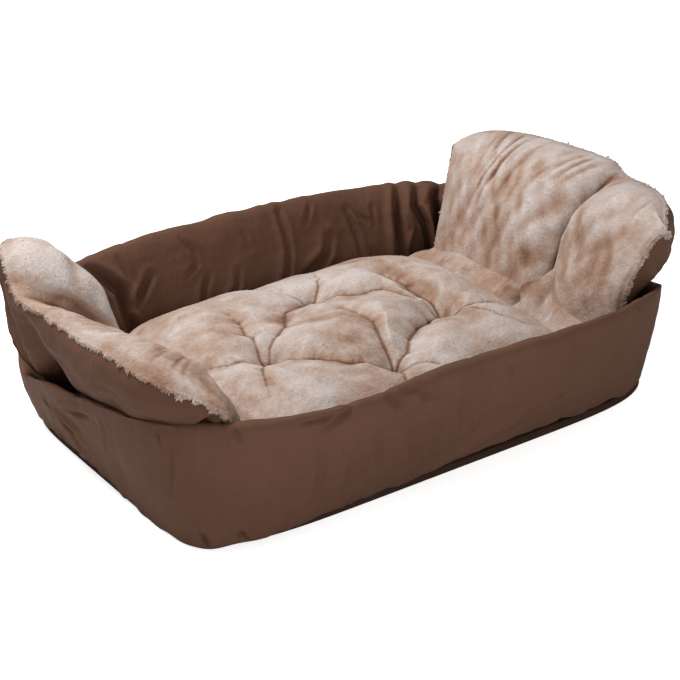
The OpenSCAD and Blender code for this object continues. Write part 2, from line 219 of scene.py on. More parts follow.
def wobble(points, wave, seed, count=9):
    """A smooth random field from about -1 to 1, with features about one wave long."""
    random = np.random.default_rng(seed)
    total = 0
    for _ in range(count):
        direction = random.normal(size=points.shape[-1])
        direction /= np.linalg.norm(direction)
        length = wave * random.uniform(0.7, 1.6)
        total = total + np.sin(2 * np.pi * (points @ direction) / length + random.uniform(0, 2 * np.pi))
    return total / math.sqrt(count)


def off_line(points, a, b):
    """Distance from each point to the line from a to b, and the share of the way along it."""
    a, b = np.array(a, float), np.array(b, float)
    way = b - a
    share = np.clip((points - a) @ way / (way @ way), 0, 1)
    return length_of(points - a - share[..., None] * way), share


def run_along(points):
    """Distance run along a line of points, 0 at the first."""
    return np.concatenate([[0], np.cumsum(length_of(np.diff(points, axis=0)))])


def resample(at, places, points):
    """Points of a line at other places along it than those of the given points."""
    return np.stack([np.interp(at, places, part) for part in points.T], -1)


def smooth_curve(points, count):
    """Evenly spread points on a smooth curve through the given ones."""
    given = np.array(points, float)
    p = np.vstack([2 * given[0] - given[1], given, 2 * given[-1] - given[-2]])
    spans = len(given) - 1
    t = np.linspace(0, spans, 40 * spans + 1)
    k = np.minimum(t.astype(int), spans - 1)
    f = (t - k)[:, None]
    a, b, c, d = p[k], p[k + 1], p[k + 2], p[k + 3]
    bend = 2 * a - 5 * b + 4 * c - d
    twist = 3 * b - a - 3 * c + d
    dense = 0.5 * (2 * b + (c - a) * f + bend * f ** 2 + twist * f ** 3)
    run = run_along(dense)
    return resample(np.linspace(0, run[-1], count), run, dense)


def outline(turn, a, b, power):
    """Points of a rounded oblong in the plan, by the angle round it."""
    c, s = np.cos(turn), np.sin(turn)
    k = (np.abs(c) ** power + np.abs(s) ** power) ** (-1 / power)
    return np.stack([a * k * c, b * k * s], -1)


def sideways(way):
    """Unit vectors in the plan that point to the right of the given ones."""
    return unit(np.stack([way[:, 1], -way[:, 0]], -1))


def lifted(plan, z):
    """The points of a plan at the given heights."""
    return np.concatenate([plan, np.broadcast_to(z, plan.shape[:-1])[..., None]], -1)


def grid_normals(grid, wrap=False):
    """Unit normals of a grid of points, rows by columns, closed along its rows or not."""
    if wrap:
        along = np.roll(grid, -1, 1) - np.roll(grid, 1, 1)
    else:
        along = np.gradient(grid, axis=1)
    return unit(np.cross(along, np.gradient(grid, axis=0)))


# Meshes over grids of points
def run_lengths(grid, axis, wrap=False):
    """Mean distance run along one axis of a grid, one value for each line of it."""
    steps = length_of(np.diff(grid, axis=axis)).mean(1 - axis)
    if wrap:
        last = length_of(np.take(grid, 0, axis) - np.take(grid, -1, axis)).mean()
        steps = np.append(steps, last)
    return np.concatenate([[0], np.cumsum(steps)])


def sheet_piece(name, grid, material, wrap=False, flip=False):
    """A smooth mesh over a grid, which knows where each point lies in its flat cloth, in metres."""
    rows, columns = grid.shape[:2]
    i, j = np.indices((rows - 1, columns if wrap else columns - 1)).reshape(2, -1)
    row = np.stack([i, i, i + 1, i + 1], -1)
    column = np.stack([j, j + 1, j + 1, j], -1)
    if flip:
        row, column = row[:, ::-1], column[:, ::-1]
    piece = mesh_piece(name, grid, (row * columns + column % columns).tolist(), material)
    along, across = run_lengths(grid, 1, wrap), run_lengths(grid, 0)
    cloth = np.stack([along[column], across[row], np.zeros(column.shape)], -1)
    attribute = piece.data.attributes.new("cloth", "FLOAT_VECTOR", "CORNER")
    attribute.data.foreach_set("vector", cloth.ravel())
    return piece


def lines_in(grid):
    """How many grid lines each point lies in from the border."""
    i, j = np.indices(grid.shape[:2])
    return np.minimum(np.minimum(i, i.max() - i), np.minimum(j, j.max() - j))


def mark_hollows(piece, grid, outward, scales, dark_patch=0.0):
    """Stores for the painted shade how deep each point lies below those a number of grid lines away, as
    shares of a depth, so hollows are painted darker and crests paler, and adds a given darker patch."""
    normal = outward * grid_normals(grid)
    total = np.zeros(grid.shape[:2])
    for stride, depth in scales:
        pad = np.pad(grid, ((stride, stride), (stride, stride), (0, 0)), mode="edge")
        inner = slice(stride, -stride)
        around = (pad[:-2 * stride, inner] + pad[2 * stride:, inner] + pad[inner, :-2 * stride]
                  + pad[inner, 2 * stride:]) / 4
        total += np.clip(((around - grid) * normal).sum(-1) / depth, -1, 1) / len(scales)
    total = total * ramp(lines_in(grid), 2, 9) + dark_patch
    attribute = piece.data.attributes.new("hollow", "FLOAT", "POINT")
    attribute.data.foreach_set("value", total.ravel().astype(np.float32))


def thicken(piece, thickness):
    """Gives a sheet its cloth's thickness, inwards."""
    solid = piece.modifiers.new("thickness", "SOLIDIFY")
    solid.thickness = thickness
    solid.offset = -1
    solid.use_even_offset = False


# Locks of pile: length, how flat they lie, how much they stand, and half thickness for their length
FIELD_LOCK = (0.005, 0.87, 1.0, (0.13, 0.24))
BORDER_LOCK = (0.0068, 0.50, -0.4, (0.20, 0.34))
LOCK_SCATTER = 0.22
ROOT_SINK = 0.25
TIP_BEND = 0.12
MATTRESS_LOCKS = 9000
WING_LOCKS = 7000
WING_BORDER_LOCKS = 6500
# A lock has three points at its root, three further up and one at its tip
LOCK_FACES = [(0, 1, 4, 3), (1, 2, 5, 4), (2, 0, 3, 5), (3, 4, 6), (4, 5, 6), (5, 3, 6)]


def border_places(random, along, up, count):
    """Random places beside the top and the two sides of a grid, and the way out at each of them."""
    rows, columns = along.shape[:2]
    side = random.integers(0, 3, count)
    into = random.integers(0, 2, count)
    i = np.where(side == 0, rows - 2 - into, random.integers(3, rows - 2, count))
    j = np.where(side == 1, 1 + into, columns - 2 - into)
    j = np.where(side == 0, random.integers(2, columns - 2, count), j)
    aside = np.where((side == 1)[:, None], -along[i, j], along[i, j])
    return i, j, np.where((side == 0)[:, None], up[i, j], aside)


def field_places(random, grid, along, up, seed, count):
    """Random places all over a grid, and how the pile is brushed in each patch."""
    rows, columns = grid.shape[:2]
    i = random.integers(4, rows - 4, count)
    j = random.integers(4, columns - 4, count)
    brush = np.pi * (0.5 + 0.6 * wobble(grid[i, j], 0.12, seed))
    return i, j, np.cos(brush)[:, None] * along[i, j] + np.sin(brush)[:, None] * up[i, j]


def sweep_pile(name, grid, outward, count, seed, border=False):
    """Short tapered locks of pile all over a grid of points, or else along its border."""
    random = np.random.default_rng(seed)
    length, flatness, stand, thickness = BORDER_LOCK if border else FIELD_LOCK
    along = unit(np.gradient(grid, axis=1))
    up = unit(np.gradient(grid, axis=0))
    if border:
        i, j, lie = border_places(random, along, up, count)
    else:
        i, j, lie = field_places(random, grid, along, up, seed + 5, count)
    normal = outward * grid_normals(grid)[i, j]
    beside = grid[i, (j + 1) % grid.shape[1]] - grid[i, j]
    root = grid[i, j] + random.uniform(-0.5, 0.5, count)[:, None] * beside
    scatter = random.normal(0, LOCK_SCATTER, (count, 3))
    way = unit(flatness * lie + (1 - flatness) * stand * normal + scatter)
    clump = 1 + 0.35 * wobble(root, 0.012, seed + 9) if border else 1
    reach = (length * clump * random.uniform(0.45, 1.05, count))[:, None]
    across = unit(np.cross(way, random.normal(size=(count, 3))))
    other = np.cross(way, across)
    width = reach * random.uniform(*thickness, count)[:, None]
    root = root - ROOT_SINK * reach * normal
    points = []
    for share, thick in ((0, 1.0), (0.6, 0.75)):
        for angle in (0, 2 * math.pi / 3, 4 * math.pi / 3):
            aside = math.cos(angle) * across + math.sin(angle) * other
            points.append(root + share * reach * way + thick * width * aside)
    points.append(root + reach * way - TIP_BEND * reach * normal)
    faces = [tuple(len(points) * k + point for point in face) for k in range(count) for face in LOCK_FACES]
    piece = mesh_piece(name, np.stack(points, 1), faces, PILE)
    return piece


# Materials
# Colours of the plush, from where it lies flat to where it stands, and the darker brown of the painted
# shade in its hollows
PLUSH_STOPS = [(0.31, (0.240, 0.128, 0.080)), (0.42, (0.385, 0.250, 0.182)),
               (0.51, (0.480, 0.371, 0.315)), (0.63, (0.59, 0.514, 0.484))]
HOLLOW_SHADE = (0.50, 0.34, 0.25, 1)


class Nodes:
    """Short calls for building a material's nodes."""

    def __init__(self, name):
        self.material = bpy.data.materials.new(name)
        self.material.use_nodes = True
        self.tree = self.material.node_tree
        self.tree.nodes.clear()
        self.shader = self.add("ShaderNodeBsdfPrincipled")
        self.fill(self.add("ShaderNodeOutputMaterial"), Surface=self.shader.outputs["BSDF"])
        self.place = self.add("ShaderNodeTexCoord").outputs["Object"]
        self.cloth = self.add("ShaderNodeAttribute", attribute_name="cloth").outputs["Vector"]

    def add(self, kind, **values):
        node = self.tree.nodes.new(kind)
        for key, value in values.items():
            setattr(node, key, value)
        return node

    def put(self, socket, value):
        """Links a socket to another one, or else sets its value."""
        if isinstance(value, bpy.types.NodeSocket):
            self.tree.links.new(value, socket)
        else:
            socket.default_value = value

    def fill(self, node, **values):
        for name, value in values.items():
            self.put(node.inputs[name.replace("_", " ")], value)
        return node

    def finish(self, **values):
        self.fill(self.shader, **values)
        return self.material

    def noise(self, scale, detail=2, roughness=0.5, distortion=0, stretch=(1, 1, 1), source=None):
        scales = [scale * s for s in stretch]
        source = source or self.place
        scaled = self.fill(self.add("ShaderNodeMapping"), Vector=source, Scale=scales)
        node = self.fill(self.add("ShaderNodeTexNoise"), Vector=scaled.outputs["Vector"], Scale=1,
                         Detail=detail, Roughness=roughness, Distortion=distortion)
        return node.outputs["Fac"]

    def math(self, operation, a, b):
        node = self.add("ShaderNodeMath", operation=operation)
        self.put(node.inputs[0], a)
        self.put(node.inputs[1], b)
        return node.outputs[0]

    def remap(self, value, low, high, to_low, to_high):
        node = self.fill(self.add("ShaderNodeMapRange", clamp=True), Value=value, From_Min=low,
                         From_Max=high, To_Min=to_low, To_Max=to_high)
        return node.outputs["Result"]

    def ramp(self, value, stops):
        node = self.fill(self.add("ShaderNodeValToRGB"), Fac=value)
        elements = node.color_ramp.elements
        while len(elements) < len(stops):
            elements.new(0.5)
        for element, (place, color) in zip(elements, stops):
            element.position = place
            element.color = (*color, 1)
        return node.outputs["Color"]

    def tint(self, share, color, by):
        """The colour multiplied by another one, as far as the share says."""
        node = self.add("ShaderNodeMix", data_type="RGBA", blend_type="MULTIPLY")
        self.put(node.inputs["Factor"], share)
        for name, value in (("A", color), ("B", by)):
            self.put(next(s for s in node.inputs if s.name == name and s.type == "RGBA"), value)
        return next(s for s in node.outputs if s.type == "RGBA")

    def bump(self, height, distance, strength, under=None):
        node = self.fill(self.add("ShaderNodeBump"), Height=height, Distance=distance, Strength=strength)
        if under is not None:
            self.fill(node, Normal=under)
        return node.outputs["Normal"]


def plush_material(name, pile=1.0):
    """Short pile: tan patches where it is brushed down and pale where it stands, with painted shade that
    darkens it in the hollows and painted light that makes it paler on the crests.
    """
    n = Nodes(name)
    patches = n.noise(8, detail=5, roughness=0.6, distortion=0.8)
    brush = n.noise(34, detail=6, roughness=0.7, distortion=0.6)
    clumps = n.noise(210, detail=4, roughness=0.65, distortion=0.4)
    fibre = n.noise(700, detail=3, roughness=0.7)
    hollow = n.add("ShaderNodeAttribute", attribute_name="hollow").outputs["Fac"]
    lie = n.math("ADD", n.math("MULTIPLY", patches, 0.72), n.math("MULTIPLY", brush, 0.28))
    # Painted shade and light: hollows shift the colour towards the tan end, crests towards the pale end
    lie = n.math("SUBTRACT", lie, n.math("MULTIPLY", hollow, 0.19))
    bright_fibre = n.remap(fibre, 0.3, 0.7, 0.84, 1.14)
    bright_clump = n.remap(clumps, 0.3, 0.7, 0.88, 1.10)
    color = n.tint(1.0, n.ramp(lie, PLUSH_STOPS), n.math("MULTIPLY", bright_fibre, bright_clump))
    # Painted shade: the hollows are multiplied by a darker brown
    color = n.tint(n.remap(hollow, 0.10, 0.80, 0.0, 0.58), color, HOLLOW_SHADE)
    normal = n.bump(fibre, 0.0012 * pile, 0.8, n.bump(clumps, 0.0035 * pile, 0.7))
    return n.finish(Base_Color=color, Normal=normal, Roughness=0.95, Specular_IOR_Level=0.08,
                    Sheen_Weight=0.14, Sheen_Roughness=0.5, Sheen_Tint=(1, 0.97, 0.95, 1))


def nylon_material(name, color, dark):
    """Satin woven nylon: fine threads both ways, faint slubs and soft gloss."""
    n = Nodes(name)
    warp = n.noise(1, stretch=(60, 1500, 1), source=n.cloth)
    weft = n.noise(1, stretch=(1500, 60, 1), source=n.cloth)
    soil = n.noise(7, detail=3, roughness=0.6)
    crumple = n.noise(48, detail=5, roughness=0.55, distortion=0.6, stretch=(1, 1, 0.45))
    soft = n.noise(15, detail=3, distortion=0.8, stretch=(1, 1, 0.4))
    threads = n.math("MULTIPLY", n.math("ADD", warp, weft), 0.5)
    shade = n.math("ADD", n.math("MULTIPLY", threads, 0.6), n.math("MULTIPLY", soil, 0.4))
    lain = n.bump(crumple, 0.0045, 0.38, n.bump(soft, 0.014, 0.30))
    return n.finish(Base_Color=n.ramp(shade, [(0.36, dark), (0.64, color)]),
                    Normal=n.bump(threads, 0.0004, 0.5, lain),
                    Roughness=n.remap(threads, 0.3, 0.7, 0.66, 0.82), Specular_IOR_Level=0.10)


def darker(color):
    return tuple(0.6 * part for part in color)


def thread_material(name, color):
    """Twisted sewing thread."""
    n = Nodes(name)
    twist = n.noise(1800, detail=1)
    return n.finish(Base_Color=n.ramp(twist, [(0.35, darker(color)), (0.65, color)]),
                    Normal=n.bump(twist, 0.0002, 0.6), Roughness=0.6)


def metal_material(name, color):
    """Brushed and slightly worn metal of the zip."""
    n = Nodes(name)
    scratch = n.noise(900, detail=3, stretch=(0.2, 1, 1))
    wear = n.noise(120, detail=3)
    return n.finish(Base_Color=n.ramp(wear, [(0.35, darker(color)), (0.6, color)]), Metallic=1.0,
                    Normal=n.bump(scratch, 0.0001, 0.4),
                    Roughness=n.remap(scratch, 0.3, 0.7, 0.25, 0.5))


PLUSH = plush_material("plush")
PILE = plush_material("pile", 0.3)
NYLON = nylon_material("nylon", (0.128, 0.064, 0.041), (0.100, 0.048, 0.031))
# A darker copy of the nylon: painted shade, above all for the strip of base under the wall's hem
NYLON_SHADED = nylon_material("lining", (0.048, 0.025, 0.017), (0.034, 0.018, 0.012))
THREAD = thread_material("thread", (0.10, 0.058, 0.040))
ZIP_CLOTH = nylon_material("zip_cloth", (0.070, 0.042, 0.032), (0.050, 0.030, 0.022))
METAL = metal_material("zip_metal", (0.50, 0.46, 0.42))

# The tub
# The wall's section, across in wall thicknesses, outward first, and up in wall heights
WALL_SHARES = [
    (0.10, 0), (0.30, 0.06), (0.42, 0.28), (0.45, 0.56), (0.42, 0.80), (0.29, 0.945), (0, 1),
    (-0.27, 0.945), (-0.44, 0.80), (-0.54, 0.56), (-0.58, 0.30), (-0.58, 0.09), (-0.54, 0)
]
WALL_COLUMNS = 840
WALL_ROWS = 130
# How far the grid's columns are drawn to the corners, and the bulge that is lost under the wings
CORNER_TURN = math.radians(8)
END_SLUMP = 0.9
# The hem: its droop at the near left, the height it has there, its lift further right, how ragged it
# is, and its least height
HEM_DROOP = 0.95
HEM_LOW_Z = 0.0015
HEM_LIFT = 0.010
HEM_RAG = 0.0024
HEM_LEAST_Z = 0.0005
# How far the foot is pushed out at the near left corner, and sunk inside
FOOT_PUSH = 0.010
FOOT_SINK = 0.003
# Scales of the creases that follow
CREASE_WIDTH = 0.85
INNER_DEPTH = 1.8
OUTER_DEPTH = 1.5
# Creases in the wall: half width, depth and points, as degrees round the tub and per cent of its
# height. A negative depth makes a ridge
INNER_CREASES = [
    (8.5, 14, (122, 94), (118, 69), (118, 49), (117, 25)), (9, -8, (126, 85), (123, 55), (122, 30)),
    (4.5, 3, (116, 93), (115.5, 69)), (6, 7, (111, 73), (113, 65), (116, 53)),
    (4, 3.5, (103, 93), (101, 81), (101, 71), (104, 63)), (5, 6, (99, 61), (101, 47), (102, 30)),
    (5, 6, (92, 57), (93, 45), (96, 30)), (4, 2, (89, 85), (88, 70)),
    (5.5, 7.5, (79.5, 93), (79, 75), (79, 61), (80, 47), (82, 30)), (4, 3, (72, 95), (74, 79)),
    (7.5, 8, (69, 65), (70, 53), (72, 45), (76, 36)), (5, 4.5, (64.5, 84), (63, 63), (62, 42)),
    (3.5, 3, (64, 90), (62, 77), (60, 71)), (4, 2.5, (59, 84), (59, 65)),
    (8, 13, (53, 97), (54, 75), (54, 57), (54, 30)),
    (7, 10, (49, 97), (50, 81), (48, 63), (47, 38)), (8, -6, (51.5, 74), (51, 60), (52, 45)),
    (9, 12, (44, 99), (45, 87), (44, 60), (43, 30)), (7, 7, (128, 90), (131, 60)),
    (7, 6, (28, 90), (30, 50)), (7, 7, (201, 90), (199, 40)),
    (7, 8, (230, 90), (227, 50), (228, 30)), (6, 6, (243, 80), (244, 40)),
    (6, 6, (257, 70), (256, 35)), (5, 5, (266, 92), (268, 50)), (6, 6, (279, 80), (277, 40)),
    (5, 6, (291, 90), (292, 45)), (7, 8, (303, 85), (301, 30)),
    (8, 10, (316, 95), (318, 50), (315, 30)), (7, 6, (340, 90), (341, 45)),
]
OUTER_CREASES = [
    (6, 4.5, (160, 66), (168, 53), (172, 40), (173, 18)), (9, -4, (165, 70), (176, 50), (180, 25)),
    (8, -4, (172, 81), (183, 85), (190, 88)), (6, 3, (175, 76), (187, 79)),
    (5, 2, (195, 88), (195, 73), (192, 50)), (5, 3, (178, 46), (179, 30)),
    (3.5, 3, (213, 94), (214, 86)), (3.5, 3, (226.5, 99), (227.5, 91)),
    (5, 6, (239.5, 84), (241, 89), (243, 95), (244, 100)), (4, 4, (236, 95), (239, 94), (242, 95)),
    (6, 3.5, (239, 72), (239, 42), (238, 20)), (6, 2.5, (216, 85), (216, 44)),
    (6, 3.5, (248, 70), (249, 30)), (5, 3, (244, 50), (243, 12)), (6, 3.5, (254, 62), (256, 22)),
    (6, -3.5, (259, 76), (260, 36)), (6, 3, (264, 70), (266, 40)), (5, 3, (274, 90), (276, 70)),
    (7, -3, (288, 80), (291, 60)), (6, 6, (222, 14), (223, 0)), (5, 5, (228, 10), (229, 0)),
    (5, 5, (249.5, 99), (250.5, 90), (252, 84)),
    (4.5, 4.5, (252.5, 96), (255, 95), (256, 86), (259, 81)), (4, 2.8, (267.5, 84), (268.5, 95)),
    (12, -6, (258, 6), (266, 18), (273, 26), (282, 30)), (8, 4, (266, 6), (274, 14), (284, 17)),
    (10, -5, (277, 30), (282, 40), (292, 44)), (8, 4, (279, 25), (286, 33), (294, 36)),
    (6, 3, (299, 12), (304, 24)), (4, 3, (303.5, 98), (305, 90)), (5, 3, (90, 90), (92, 60)),
    (6, 4, (62, 50), (64, 10)), (6, 4, (118, 90), (116, 50)), (5, 4, (101, 30), (99, 5)),
    (7, 5, (40, 90), (42, 40)), (4, 3, (75, 95), (76, 80)), (8, 4, (20, 60), (18, 20)),
    (8, 4, (350, 60), (352, 20)), (7, 5, (135, 50), (138, 10)), (7, 4, (328, 70), (326, 30)),
]


def side_push(turn, middle, before, after):
    """A smooth share, 1 at the middle angle in degrees and 0 past the two widths."""
    off = (np.degrees(turn) - middle + 180) % 360 - 180
    width = np.where(off < 0, before, after)
    return np.where(np.abs(off) < width, 0.5 + 0.5 * np.cos(np.pi * off / width), 0)


def wave_round(turn, wave, seed):
    """A smooth random wave round the tub."""
    return wobble(outline(turn, 1, 1, 2), wave, seed)


def rim_height(turn):
    """The rim dips towards both ends, and the wings press it down there."""
    along = np.abs(outline(turn, RIM_A, RIM_B, RIM_ROUND)[..., 0]) / RIM_A
    pressed = MM * table_value(RIM_DROPS, np.degrees(turn) % 360, 4)
    rolled = 0.0016 * wave_round(turn, 0.42, 51)
    return RIM_Z - END_DROP * along ** 1.5 - pressed + rolled - RIM_MARGIN


def hem_height(turn):
    droop = HEM_DROOP * side_push(turn, 216, 50, 24)
    ragged = HEM_LIFT * side_push(turn, 278, 42, 58) + HEM_RAG * wave_round(turn, 0.11, 91)
    return np.maximum(mix(wall_low.z, HEM_LOW_Z, droop) + ragged, HEM_LEAST_Z)


def wall_grid():
    """The wall's surface from its outer lower seam over the rim to its inner one, before any folds."""
    step = np.linspace(0, 2 * np.pi, WALL_COLUMNS, endpoint=False)
    turn = step + CORNER_TURN * np.sin(4 * step)
    section = smooth_curve([(a * WALL_T, b) for a, b in WALL_SHARES], WALL_ROWS)
    across, up = section[:, 0][:, None, None], np.clip(section[:, 1], 0, 1.003)[:, None]
    slump = 1.6 * side_push(turn, 180, 62, 62) + 1.4 * side_push(turn, -18, 58, 70)
    slump = np.minimum(1, slump)[None, :, None]
    across = np.where(across > 0, across * (1 - END_SLUMP * slump), across)
    foot = outline(turn, base_high.x, base_high.y, BASE_ROUND)[None]
    crest = outline(turn, RIM_A, RIM_B, RIM_ROUND)[None]
    ahead, behind = (outline(turn + by, RIM_A, RIM_B, RIM_ROUND) for by in (0.01, -0.01))
    normal = sideways(ahead - behind)[None]
    plan = mix(foot, crest, up[..., None]) + across * normal
    pushed = side_push(turn, 227, 16, 12) * (1 - np.minimum(up, 1)) ** 3
    plan = plan + FOOT_PUSH * pushed[..., None] * normal
    outer = (np.arange(WALL_ROWS) < WALL_ROWS / 2)[:, None]
    low = np.where(outer, hem_height(turn), wall_low.z - FOOT_SINK)
    return lifted(plan, mix(low, rim_height(turn)[None], up)), turn, up


def in_metres(creases):
    return [(MM * width, MM * depth, MM * np.array(spots)) for width, depth, *spots in creases]


def crease_offsets(points, creases):
    """Offset that the given creases make at each point of a surface. A crease is sharp at its
    bottom, has a low ridge along each side and fades at both ends."""
    total = np.zeros(points.shape[:-1])
    for width, depth, spots in creases:
        lengths = run_along(spots)
        nearest = np.full(total.shape, 9.0)
        along = np.zeros(total.shape)
        for k in range(len(spots) - 1):
            distance, share = off_line(points, spots[k], spots[k + 1])
            closer = distance < nearest
            nearest = np.where(closer, distance, nearest)
            along = np.where(closer, lengths[k] + share * (lengths[k + 1] - lengths[k]), along)
        share = along / lengths[-1]
        fade = np.sin(np.pi * np.clip(0.10 + 0.80 * share, 0, 1)) ** 0.8
        if depth > 0:
            ridges = 0.45 * bell(nearest, 2.3 * width, 1.2 * width)
            shape = ridges - np.exp(-(nearest / width) ** 1.3)
        else:
            shape = -bell(nearest, 0, width)
        total += depth * fade * shape
    return total


def gathers(run, length, spots, seed, width, depth):
    """Narrow folds at random places along a closed run of the given length."""
    random = np.random.default_rng(seed)
    total = np.zeros(run.shape)
    for _ in range(spots):
        off = np.abs(run - random.uniform(0, length))
        off = np.minimum(off, np.abs(length - off))
        wide = width * random.uniform(0.6, 1.5)
        fold = 0.4 * bell(off, 2 * wide, wide) - np.exp(-(off / wide) ** 1.5)
        total += depth * random.uniform(0.3, 1.0) * fold
    return total


def folded_wall():
    """The wall's surface with its creases, gathers and soft waves."""
    grid, turn, up = wall_grid()
    run = run_lengths(grid, 1, wrap=True)
    length, run = run[-1], run[:-1]
    row = np.linspace(0, 1, WALL_ROWS)[:, None]
    off_crest = np.abs(2 * row - 1)
    outside = 1 - ramp(row, 0.46, 0.54)
    inside = 1 - outside
    turns = np.degrees(np.unwrap(turn))
    flat = np.stack(np.broadcast_arrays(run[None], up * WALL_RISE), -1)

    def place_of(degrees, height):
        along = np.interp((degrees - turns[0]) % 360 + turns[0], turns, run)
        return float(along), height / 100 * WALL_RISE

    def creases(lines):
        return crease_offsets(flat, [
            (CREASE_WIDTH * MM * width, MM * depth, np.array([place_of(*spot) for spot in spots]))
            for width, depth, *spots in lines])

    offset = 0.0018 * wobble(grid, 0.20, 3) + 0.0007 * wobble(grid, 0.075, 4)
    offset += 0.00025 * wobble(grid, 0.028, 5)
    offset += 0.0010 * wobble(grid * [1, 1, 0.3], 0.055, 8) * (1 - off_crest ** 6)
    offset += OUTER_DEPTH * outside * creases(OUTER_CREASES) + INNER_DEPTH * inside * creases(INNER_CREASES)
    # Gathers: how strong they are at each point, their number, seed, width and depth
    for strength, spots, seed, width, depth in (
            (outside * (1 - ramp(up, 0.0, 0.16)), 70, 5, 0.005, 0.0035),
            (outside * (1 - ramp(up, 0.0, 0.5)), 40, 15, 0.012, 0.0022),
            (inside * (1 - ramp(up, 0.10, 0.55)), 40, 6, 0.008, 0.003),
            ((1 - off_crest) ** 10, 26, 7, 0.008, 0.0012)):
        offset += strength * gathers(run[None], length, spots, seed, width, depth)
    seam = ramp(row, 0, 0.03) * (1 - ramp(row, 0.97, 1))
    return grid + (offset * seam)[..., None] * grid_normals(grid, wrap=True)


def tub_wall():
    """The padded wall, closed along its foot."""
    grid = folded_wall()
    foot = np.stack([mix(grid[-1], grid[0], share) for share in (0.33, 0.67, 1)])
    piece = sheet_piece("tub_wall", np.concatenate([grid, foot]), NYLON, wrap=True)
    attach(piece, "tub")
    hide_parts("wall_cover", "front_wall_fill", "rear_wall_fill", "left_end_fill", "right_end_fill")


BASE_COLUMNS = 360
BASE_RINGS = 24
BASE_EDGE = 0.02


def tub_base():
    """The padded bottom, a shallow cushion with a soft edge."""
    turn = np.linspace(0, 2 * np.pi, BASE_COLUMNS, endpoint=False)
    half = base_high.z / 2
    # Each ring as its share of the outline and its level: 0 below, 2 above and the edge between
    shares = np.linspace(0.02, 0.96, BASE_RINGS)
    angles = np.radians(np.linspace(-80, 80, 9))
    rings = [(share, 0) for share in shares]
    rings += [(1 - (1 - np.cos(angle)) * BASE_EDGE, 1 + np.sin(angle)) for angle in angles]
    rings += [(share, 2) for share in shares[::-1]]
    grid = []
    for share, level in rings:
        plan = outline(turn, base_high.x * share, base_high.y * share, BASE_ROUND)
        ruck = 0.0010 * wobble(plan, 0.06, 8) - 0.0012 if level == 2 else 0
        grid.append(lifted(plan, np.clip(half * level + ruck, 0, base_high.z)))
    # Its nylon is darkened as painted shade for the strip that shows under the wall's hem
    piece = sheet_piece("tub_base", np.array(grid)[::-1], NYLON_SHADED, wrap=True, flip=True)
    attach(piece, "tub")
    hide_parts("base_cover", "base_foam", "base_liner")


# The mattress
STRAIGHT_SHARE = 0.72
END_TAPER_SHARE = 0.14
CORNER_DRAW = 0.06
CROWN = top_high.z - border_high.z - PLUSH_T
MATTRESS_COLUMNS = 430
MATTRESS_ROWS = 370
UNDER_ROWS = 150
SIDE_COLUMNS = 110
SIDE_ROWS = 16
# Tufts, from the middle
FAR_TUFT = (11, 110)
RIGHT_TUFT = (158, -48)
LEFT_TUFT = (-168, -28)
NEAR_TUFT = (-22, -155)
TUFT_DEPTH = 0.052
TUFT_REACH = 0.034
# Creases in the top: half width, depth and points
MATTRESS_CREASES = [
    (10, 15, FAR_TUFT, (-18, 150), (-45, 225)),
    (13, 17, FAR_TUFT, (-45, 88), (-110, 20), LEFT_TUFT),
    (11, 16, FAR_TUFT, (60, 82), (115, 40), RIGHT_TUFT),
    (11, 17, RIGHT_TUFT, (160, 25), (150, 110)),
    (10, 15, RIGHT_TUFT, (190, -66), (249, -66), (305, -80)),
    (11, 24, RIGHT_TUFT, (110, -58), (48, -104), NEAR_TUFT),
    (10, 12, NEAR_TUFT, (-8, -110), (14, -40), (6, 15)),
    (10, 12, LEFT_TUFT, (-163, 31), (-149, 110)),
    (10, 14, LEFT_TUFT, (-209, -24), (-255, -12)),
    (12, 16, LEFT_TUFT, (-130, -70), (-80, -120), NEAR_TUFT),
    (11, 13, NEAR_TUFT, (-35, -205), (-30, -250)),
    (10, 10, NEAR_TUFT, (30, -190), (80, -240)),
    (10, 10, LEFT_TUFT, (-215, -90), (-240, -150)),
    (10, 10, RIGHT_TUFT, (200, -110), (250, -170)),
    (10, 10, FAR_TUFT, (60, 160), (90, 225)),
]


def half_width(u):
    taper = np.maximum(0, (np.abs(u) - STRAIGHT_SHARE) / (1 - STRAIGHT_SHARE)) ** 2
    return MATTRESS_B * (1 - END_TAPER_SHARE * taper)


def bed_plan(u, v):
    draw = 1 - CORNER_DRAW * np.abs(u) ** 7 * np.abs(v) ** 7
    return np.stack([MATTRESS_A * u * draw, half_width(u) * v * draw], -1)


def spread(count):
    """Shares from -1 to 1, closer together near the ends."""
    t = np.linspace(-1, 1, count)
    return t * (1.25 - 0.25 * t * t)


